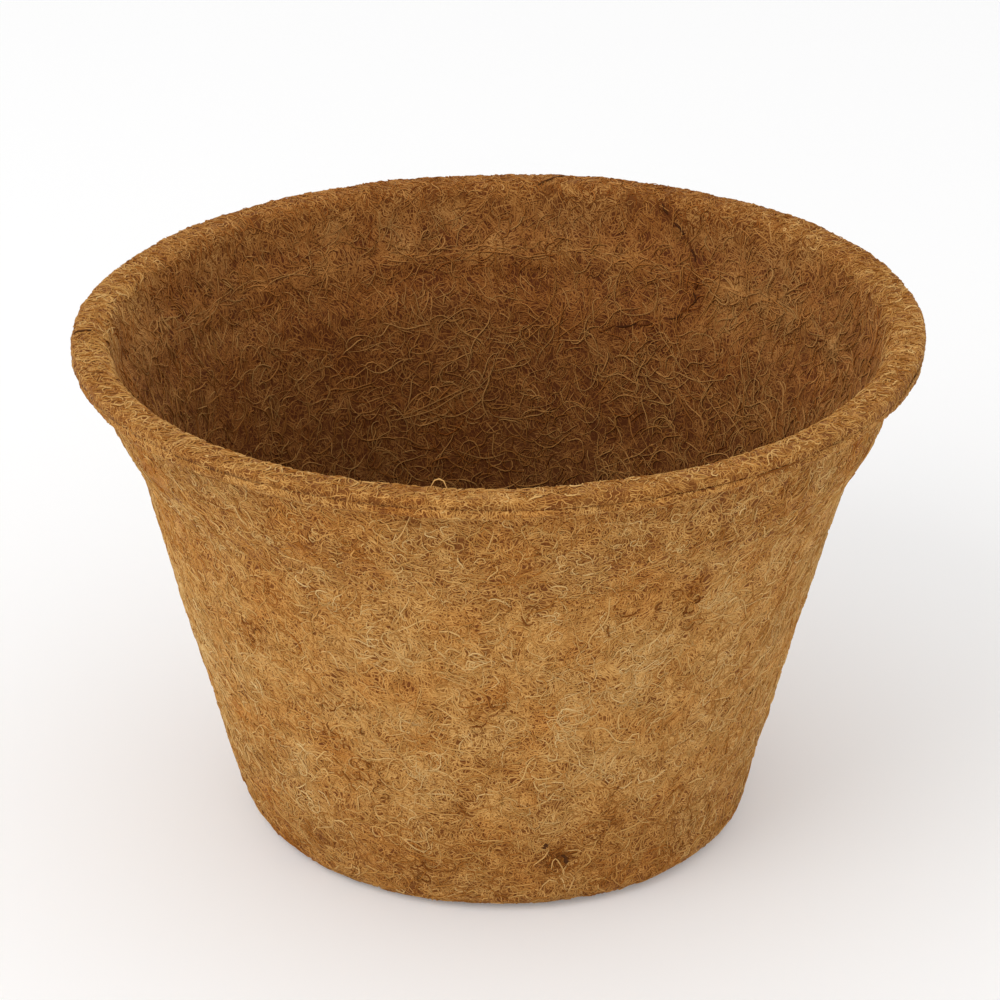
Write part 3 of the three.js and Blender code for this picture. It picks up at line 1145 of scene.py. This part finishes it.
def mark_gold_and_painted_light(mesh, line):
    """Stores where the inside's felt is golden, as on the rim, and not brown. Less is golden towards the
    back, partly as painted shade, and the gold spots add a painted highlight along the ledge.
    """
    places = places_of(mesh)
    x, y, z = places.T
    by_height = numpy.interp(z, MOUTH_HEIGHTS, (0, 1))
    by_turn = numpy.interp(numpy.abs(numpy.degrees(numpy.arctan2(x, -y))), MOUTH_TURNS, (1, BACK_GOLD_PARTLY_SHADED))
    golden = numpy.clip(by_height * by_turn + spotted(places, line, GOLD_AND_LEDGE_HIGHLIGHT_SPOTS), 0, 1)
    mesh.attributes.new("golden", "FLOAT", "POINT").data.foreach_set("value", golden)


class Strand(NamedTuple):
    """A single strand that stands out, as turns and heights on its felt, and radii on the flange."""

    tone: float
    thickness: float
    lift: float
    path: tuple


PALE, TAN, DARK, SHADE, BLACK = 0.88, 0.68, 0.14, 0.07, 0.02

OUTER_STRANDS = (
    Strand(TAN, 0.26, 0.4, ((-15.5, 104), (-13, 105), (-9.5, 104), (-8, 100), (-9, 95.5), (-11, 93))),
    Strand(TAN, 0.26, 0.4, ((-13, 89), (-12, 91), (-9, 91), (-7.5, 87.5), (-8, 83))),
    Strand(TAN, 0.24, 0.3, ((-12.5, 87.5), (-11.5, 83), (-9.5, 79))),
    Strand(TAN, 0.26, 0.4, ((-17.5, 49), (-16.5, 54.5), (-15, 58.5), (-13, 66), (-12, 70))),
    Strand(TAN, 0.26, 0.4, ((10, 92.5), (11.5, 88), (12.5, 81.5), (14.5, 74))),
    Strand(DARK, 0.32, 0.05, ((4, 89.5), (4.9, 93.2), (6.4, 97))),
    Strand(DARK, 0.3, 0.05, ((4.1, 90), (5.9, 93), (9, 95.4), (11, 96))),
    Strand(PALE, 0.3, 0.4, ((-2.5, 90), (-1, 91), (0.5, 94))),
    Strand(PALE, 0.26, 0.5, ((-20.5, 41.5), (-19.5, 46), (-17.5, 47.5), (-16, 44.5), (-13.5, 43))),
    Strand(PALE, 0.3, 0.5, ((11.5, 57), (12.5, 52), (14.5, 50), (13.5, 53.5))),
    Strand(PALE, 0.3, 0.6, ((-11, 122), (-11.5, 120), (-13, 115), (-15, 112.5))),
    Strand(TAN, 0.28, 0.5, ((-16, 117.5), (-13, 119.5), (-11, 119.5))),
    Strand(TAN, 0.28, 0.4, ((-8.5, 121.5), (-6, 122), (-4, 121.5))),
    Strand(PALE, 0.28, 0.5, ((-1.5, 112), (-1, 115), (-0.5, 118))),
    Strand(TAN, 0.28, 0.5, ((9.5, 121.5), (10, 118.5), (9, 114))),
    Strand(BLACK, 0.7, 0.05, ((8.7, 19.3), (9.7, 20.5), (10.5, 21.6))),
    Strand(BLACK, 0.6, 0.05, ((8.8, 20.3), (9.8, 21.3), (10.4, 20.7))),
    Strand(BLACK, 0.9, 0.05, ((12.8, 17.2), (14, 16.1), (13.8, 13.5))),
    Strand(BLACK, 0.8, 0.05, ((13.4, 16.4), (14.4, 15.4), (14.2, 14))),
    Strand(SHADE, 0.6, 0.05, ((9.5, 14.3), (10.8, 15.5), (11.9, 13.9))),
    Strand(PALE, 0.28, 0.4, ((7, 14.3), (8.3, 16.1), (9.4, 17.3), (10.6, 19.9))),
    Strand(PALE, 0.28, 0.5, ((11.1, 12.4), (11.2, 15.6), (11.9, 16.5), (13, 14.2), (14.2, 11.1))),
    Strand(PALE, 0.26, 0.4, ((13.5, 18), (14.9, 18.4), (16.4, 18.3), (17.5, 16.9))),
    Strand(TAN, 0.26, 0.4, ((14.6, 16.6), (15.8, 17.2), (17, 16.9))),
    Strand(DARK, 0.3, 0.05, ((-48, 111.5), (-44, 111.5), (-40.5, 111), (-37, 111), (-33.5, 111.5))),
    Strand(DARK, 0.3, 0.1, ((-47, 88), (-46.5, 85.5), (-45.5, 82.5))),
    Strand(
        SHADE, 0.5, 0.15,
        ((33, 125, 101.5), (35, 125.5, 101.5), (37.5, 125.5, 101.5), (40.5, 126, 101.5)),
    ),
)
INNER_STRANDS = (
    Strand(BLACK, 0.6, 0.12, ((152.5, 126), (151.8, 124.2), (150.6, 122.6))),
    Strand(SHADE, 0.5, 0.05, ((152.2, 124.8), (150.2, 121.8), (148.9, 120.4))),
    Strand(BLACK, 0.6, 0.08, ((150.2, 121.6), (148.4, 120.2), (147.2, 118.2))),
    Strand(SHADE, 0.55, 0.08, ((148, 119.4), (146.2, 117), (145.6, 114.6))),
    Strand(BLACK, 0.55, 0.08, ((146.4, 116.6), (144.8, 114.4), (144.2, 112.6))),
    Strand(SHADE, 0.5, 0.05, ((144.4, 113), (143.2, 111.2), (143.6, 109.4))),
    Strand(SHADE, 0.55, 0.4, ((143.9, 110), (142.9, 108.2), (143.3, 106.4))),
    Strand(BLACK, 0.6, 0.1, ((143.6, 106.2), (142.6, 104.2), (143.4, 102.6))),
    Strand(SHADE, 0.55, 0.05, ((142.8, 104.8), (143.8, 102), (145.4, 100.4))),
    Strand(BLACK, 0.5, 0.08, ((144.2, 101), (145.8, 99), (147.6, 98.4))),
    Strand(SHADE, 0.5, 0.08, ((149.4, 97), (151.8, 95.6), (153.6, 95.4))),
    Strand(BLACK, 0.55, 0.08, ((153, 95.8), (155.4, 94.4), (157.6, 94))),
    Strand(SHADE, 0.5, 0.05, ((157, 94.8), (159.4, 92.6), (161, 91.6))),
    Strand(
        PALE, 0.26, 0.6,
        ((158.5, 105), (158, 100), (155, 97.5), (150.5, 99.5), (150.5, 104.5), (152.5, 107.5)),
    ),
    Strand(TAN, 0.26, 0.6, ((183.5, 93), (177.5, 90), (172, 94.5), (169.5, 101.5), (170.5, 108))),
    Strand(PALE, 0.28, 0.8, ((203, 69), (194, 70.5), (187.5, 74.5), (182.5, 76))),
    Strand(PALE, 0.28, 0.6, ((195, 70.5), (189, 68.5), (183.5, 72.5), (184.5, 75))),
    Strand(PALE, 0.26, 0.7, ((199, 70), (192, 73), (184.5, 77))),
    Strand(PALE, 0.24, 0.5, ((189, 59.5), (183, 57), (178, 58.5))),
    Strand(SHADE, 0.55, 0.1, ((114.5, 107), (111.5, 108), (108.5, 109.5))),
)
RIM_STRANDS = (
    Strand(BLACK, 0.45, 0.3, ((169.5, 128, 100.5), (171, 128, 98), (172.5, 127.6, 95.5), (174.5, 125, 93.5))),
    Strand(BLACK, 0.5, 0.35, ((-85.2, 127, 101.5), (-85.5, 128, 100), (-85.8, 128, 97.5), (-86.1, 128, 95))),
    Strand(PALE, 0.34, 2.2, ((-8.8, 128, 95.5), (-7.9, 128, 95.3), (-7.2, 128, 95.3), (-6.4, 128, 95.5))),
    Strand(PALE, 0.3, 0.9, ((35, 127, 101.5), (35.6, 128, 100), (36.6, 128, 99.5), (37.2, 127.5, 101))),
    Strand(PALE, 0.3, 0.8, ((36, 127.5, 101), (36.8, 128, 99), (38, 128, 98.5), (38.4, 128, 99.5))),
    Strand(PALE, 0.3, 0.8, ((40, 128, 98), (41, 128, 97), (42.2, 128, 97.5), (41.6, 128, 98.5))),
)


def lay_strands(name, felt_name, line, strands, material, hue):
    """Lays single strands on a felt as one piece."""
    places, edges, values = [], [], {"tone": [], "thickness": [], "lift": [], "hue": []}
    for strand in strands:
        edges += [(len(places) + i, len(places) + i + 1) for i in range(len(strand.path) - 1)]
        places += [on_line(line, *point) for point in strand.path]
        own = {"tone": strand.tone, "thickness": strand.thickness * MM, "lift": strand.lift * MM, "hue": hue}
        for label, value in own.items():
            values[label] += [value] * len(strand.path)
    mesh = bpy.data.meshes.new(name + "_paths")
    mesh.from_pydata(places, edges, [])
    for label, numbers in values.items():
        mesh.attributes.new(label, "FLOAT", "POINT").data.foreach_set("value", numbers)
    piece = grown(
        named_tree("Strands on felt", strand_tree),
        name,
        mesh,
        {
            "Felt": bpy.data.objects[felt_name],
            "Spacing": STRAND_SPACING,
            "Sink": STRAND_SINK,
            "Material": material,
        },
    )
    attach(piece, BODY)


def press_felt(name, node, profile, material, seed, ridge=0.0):
    """Makes one ply of felt in place of its solid."""
    look = bpy.context.scene.pot_felt
    piece = grown(
        named_tree("Felt turned from a profile", felt_tree),
        name,
        profile_mesh(name + "_profile", profile),
        {
            "Turn steps": look.turn_steps,
            "Lump height": look.lump_height,
            "Lump size": look.lump_size,
            "Dimple height": look.dimple_height,
            "Dimple size": look.dimple_size,
            "Inset": look.inset,
            "Ridge": ridge,
            "Rim rise": look.rim_rise,
            "Rim dip": look.rim_dip,
            "Wall shift": look.wall_shift,
            "Foot shift": look.foot_shift,
            "Base lift": BASE_LIFT,
            "Seed": seed,
            "Material": material,
        },
    )
    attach(piece, BODY)
    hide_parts(node)
    return piece


class POT_OT_outer_felt(bpy.types.Operator):
    """Press the outside ply of felt"""

    bl_idname = "coir_pot.outer_felt"
    bl_label = "Outer felt"

    def execute(self, context):
        look = context.scene.pot_felt
        material = felt_material("outer_coir_felt", look, inside=False)
        sizes = context.scene.pot_sizes
        piece = press_felt("outer_mat", "outer_felt", outer_profile(sizes), material, seed=3)
        mark_spots(piece.data, line_at_depth(sizes, 0), OUTER_SPOTS_AND_SIDE_LIGHT)
        return {"FINISHED"}


class POT_OT_inner_felt(bpy.types.Operator):
    """Press the inside ply of felt"""

    bl_idname = "coir_pot.inner_felt"
    bl_label = "Inner felt"

    def execute(self, context):
        look = context.scene.pot_felt
        material = felt_material("inner_coir_felt", look, inside=True)
        sizes = context.scene.pot_sizes
        profile = inner_profile(sizes)
        piece = press_felt("inner_mat", "inner_felt", profile, material, seed=5, ridge=look.ridge)
        line = inside_line(sizes)
        mark_spots(piece.data, line, INNER_SPOTS)
        mark_gold_and_painted_light(piece.data, line)
        return {"FINISHED"}


class POT_OT_latex_film(bpy.types.Operator):
    """Finish the film of latex between the plies"""

    bl_idname = "coir_pot.latex_film"
    bl_label = "Latex film"

    def execute(self, context):
        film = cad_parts["latex_bond"]
        film.data.materials.clear()
        film.data.materials.append(latex_material(context.scene.pot_felt))
        return {"FINISHED"}


class POT_OT_outer_fibres(bpy.types.Operator):
    """Lay the fibres of the wall, the band and the base"""

    bl_idname = "coir_pot.outer_fibres"
    bl_label = "Outer fibres"

    def execute(self, context):
        material = named_material("golden_fibre")
        lay_fibres(OUTER_LAYERS, "outer_mat", material)
        line = line_at_depth(context.scene.pot_sizes, 0)
        hue = OUTER_STRAND_HUE
        lay_strands("outer_strands", "outer_mat", line, OUTER_STRANDS, material, hue)
        return {"FINISHED"}


class POT_OT_rim_fibres(bpy.types.Operator):
    """Lay the fibres of the flange's underside, edge and top"""

    bl_idname = "coir_pot.rim_fibres"
    bl_label = "Rim fibres"

    def execute(self, context):
        material = named_material("golden_fibre")
        lay_fibres(RIM_UNDERSIDE_LAYERS, "outer_mat", material, neighbour="inner_mat")
        material = named_material("brown_fibre", context.scene.pot_felt.inner_tint)
        lay_fibres(RIM_TOP_LAYERS, "inner_mat", material, inside=True, neighbour="outer_mat")
        return {"FINISHED"}


class POT_OT_inner_fibres(bpy.types.Operator):
    """Lay the fibres of the inside"""

    bl_idname = "coir_pot.inner_fibres"
    bl_label = "Inner fibres"

    def execute(self, context):
        material = named_material("brown_fibre", context.scene.pot_felt.inner_tint)
        lay_fibres(INNER_LAYERS, "inner_mat", material, inside=True)
        line = inside_line(context.scene.pot_sizes)
        for name, strands, hue in (
            ("inner_strands", INNER_STRANDS, INNER_STRAND_HUE),
            ("rim_strands", RIM_STRANDS, RIM_STRAND_HUE),
        ):
            lay_strands(name, "inner_mat", line, strands, material, hue)
        return {"FINISHED"}


def camera_ray(wire):
    """1 where the camera looks, also through a mirror or glass."""
    path = wire.add("ShaderNodeLightPath")
    seen = path["Is Camera Ray"].at_least(path["Is Glossy Ray"])
    return seen.at_least(path["Is Transmission Ray"])


class POT_OT_stage(bpy.types.Operator):
    """Set the floor, the light and the camera"""

    bl_idname = "coir_pot.stage"
    bl_label = "Stage"

    def execute(self, context):
        look = context.scene.pot_stage
        self.lay_floor(look)
        self.set_light(context.scene, look)
        self.set_camera(context.scene, look)
        context.scene.view_settings.view_transform = "Standard"
        return {"FINISHED"}

    def lay_floor(self, look):
        mesh = bpy.data.meshes.new("floor")
        sides = ((-1, -1), (1, -1), (1, 1), (-1, 1))
        mesh.from_pydata([(x * FLOOR_HALF, y * FLOOR_HALF, 0) for x, y in sides], [], [(0, 1, 2, 3)])
        floor = bpy.data.objects.new("floor", mesh)
        bpy.context.scene.collection.objects.link(floor)
        material, wire, shader = new_material("pale_floor", Roughness=0.9)
        shader.inputs["Base Color"].default_value = (*look.floor, 1)
        shader.inputs["Emission Strength"].default_value = look.floor_glow
        plug(camera_ray(wire), shader, "Emission Color")
        mesh.materials.append(material)

    def set_light(self, scene, look):
        world = bpy.data.worlds.new("studio")
        world.use_nodes = True
        scene.world = world
        wire = Wire(world.node_tree)
        background = next(n for n in world.node_tree.nodes if n.type == "BACKGROUND")
        background.inputs["Color"].default_value = (1, 1, 1, 1)
        plug(camera_ray(wire) * (1 - look.sky) + look.sky, background, "Strength")
        lamp = bpy.data.lights.new("key", "AREA")
        lamp.energy, lamp.size = look.key, LAMP_SIZE
        key = bpy.data.objects.new("key", lamp)
        scene.collection.objects.link(key)
        key.location = LAMP_PLACE
        aim = Vector(LAMP_AIM) - key.location
        key.rotation_euler = aim.to_track_quat("-Z", "Y").to_euler()

    def set_camera(self, scene, look):
        camera = bpy.data.objects.new("camera", bpy.data.cameras.new("camera"))
        scene.collection.objects.link(camera)
        scene.camera = camera
        camera.data.lens = look.focal_length
        camera.data.sensor_width = SENSOR_WIDTH
        camera.data.shift_x, camera.data.shift_y = look.shift_across, look.shift_up
        back = Vector((0, -math.cos(look.elevation), math.sin(look.elevation)))
        target = Vector((0, 0, RIM_HEIGHT / 2))
        camera.location = target + back * look.distance
        camera.rotation_euler = (-back).to_track_quat("-Z", "Y").to_euler()


OPERATORS = (
    POT_OT_outer_felt,
    POT_OT_inner_felt,
    POT_OT_latex_film,
    POT_OT_outer_fibres,
    POT_OT_rim_fibres,
    POT_OT_inner_fibres,
    POT_OT_stage,
)
GROUPS = {
    "pot_sizes": PotSizes,
    "pot_felt": FeltLook,
    "pot_fibres": FibreLook,
    "pot_stage": StageLook,
}


class POT_PT_panel(bpy.types.Panel):
    """The pot's sizes, looks and steps"""

    bl_idname = "POT_PT_panel"
    bl_label = "Coir pot"
    bl_space_type = "VIEW_3D"
    bl_region_type = "UI"
    bl_category = "Coir pot"

    def draw(self, context):
        for name, group in GROUPS.items():
            box = self.layout.box()
            box.label(text=group.__doc__)
            for label in group.__annotations__:
                box.prop(getattr(context.scene, name), label)
        for operator in OPERATORS:
            self.layout.operator(operator.bl_idname)


def register():
    for cls in (*GROUPS.values(), *OPERATORS, POT_PT_panel):
        bpy.utils.register_class(cls)
    for name, group in GROUPS.items():
        setattr(bpy.types.Scene, name, PointerProperty(type=group))


def unregister():
    for name in GROUPS:
        delattr(bpy.types.Scene, name)
    for cls in (POT_PT_panel, *reversed(OPERATORS), *GROUPS.values()):
        bpy.utils.unregister_class(cls)


def main():
    register()
    for operator in OPERATORS:
        group, name = operator.bl_idname.split(".")
        getattr(getattr(bpy.ops, group), name)()


if __name__ == "__main__":
    main()
